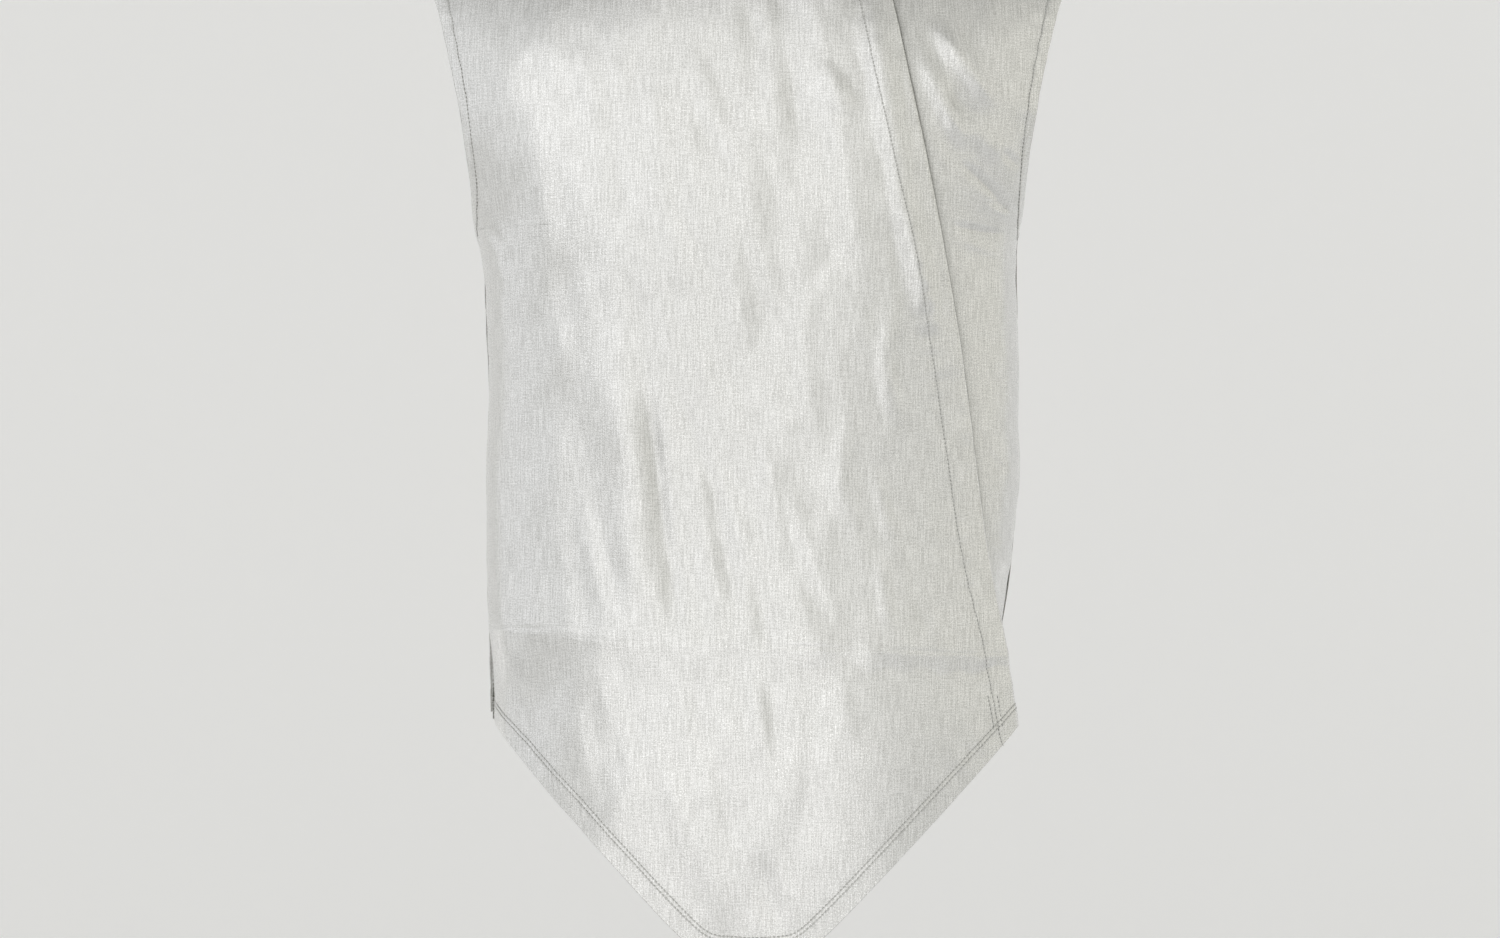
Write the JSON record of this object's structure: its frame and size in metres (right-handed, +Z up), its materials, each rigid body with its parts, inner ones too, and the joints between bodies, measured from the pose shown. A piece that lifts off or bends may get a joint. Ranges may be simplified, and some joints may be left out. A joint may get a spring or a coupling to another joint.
{
  "type": "wrap-over fencing vest of metallic cloth",
  "caption": "Sleeveless vest of silvery conductive cloth as worn over a fencing jacket, with a slanting side-front closing, a stand collar and a pointed front hem.",
  "frame": {"origin": "base of the neck, midway between the two points where the shoulder seams meet the collar", "axes": "+Z up, towards the wearer's head; -Y is the way the wearer faces; +X towards the wearer's left side"},
  "size_m": [0.457, 0.2423, 0.778],
  "materials": {
    "lame_cloth": "fine silvery metallic weave with a soft sheen",
    "fastening_tape": "matt woven hook-and-loop tape"
  },
  "bodies": {
    "root": {"front_right": "lame_cloth", "front_left": "lame_cloth", "back": "lame_cloth", "collar": "lame_cloth", "tape_hook": "fastening_tape", "tape_loop": "fastening_tape"}
  },
  "joints": []
}
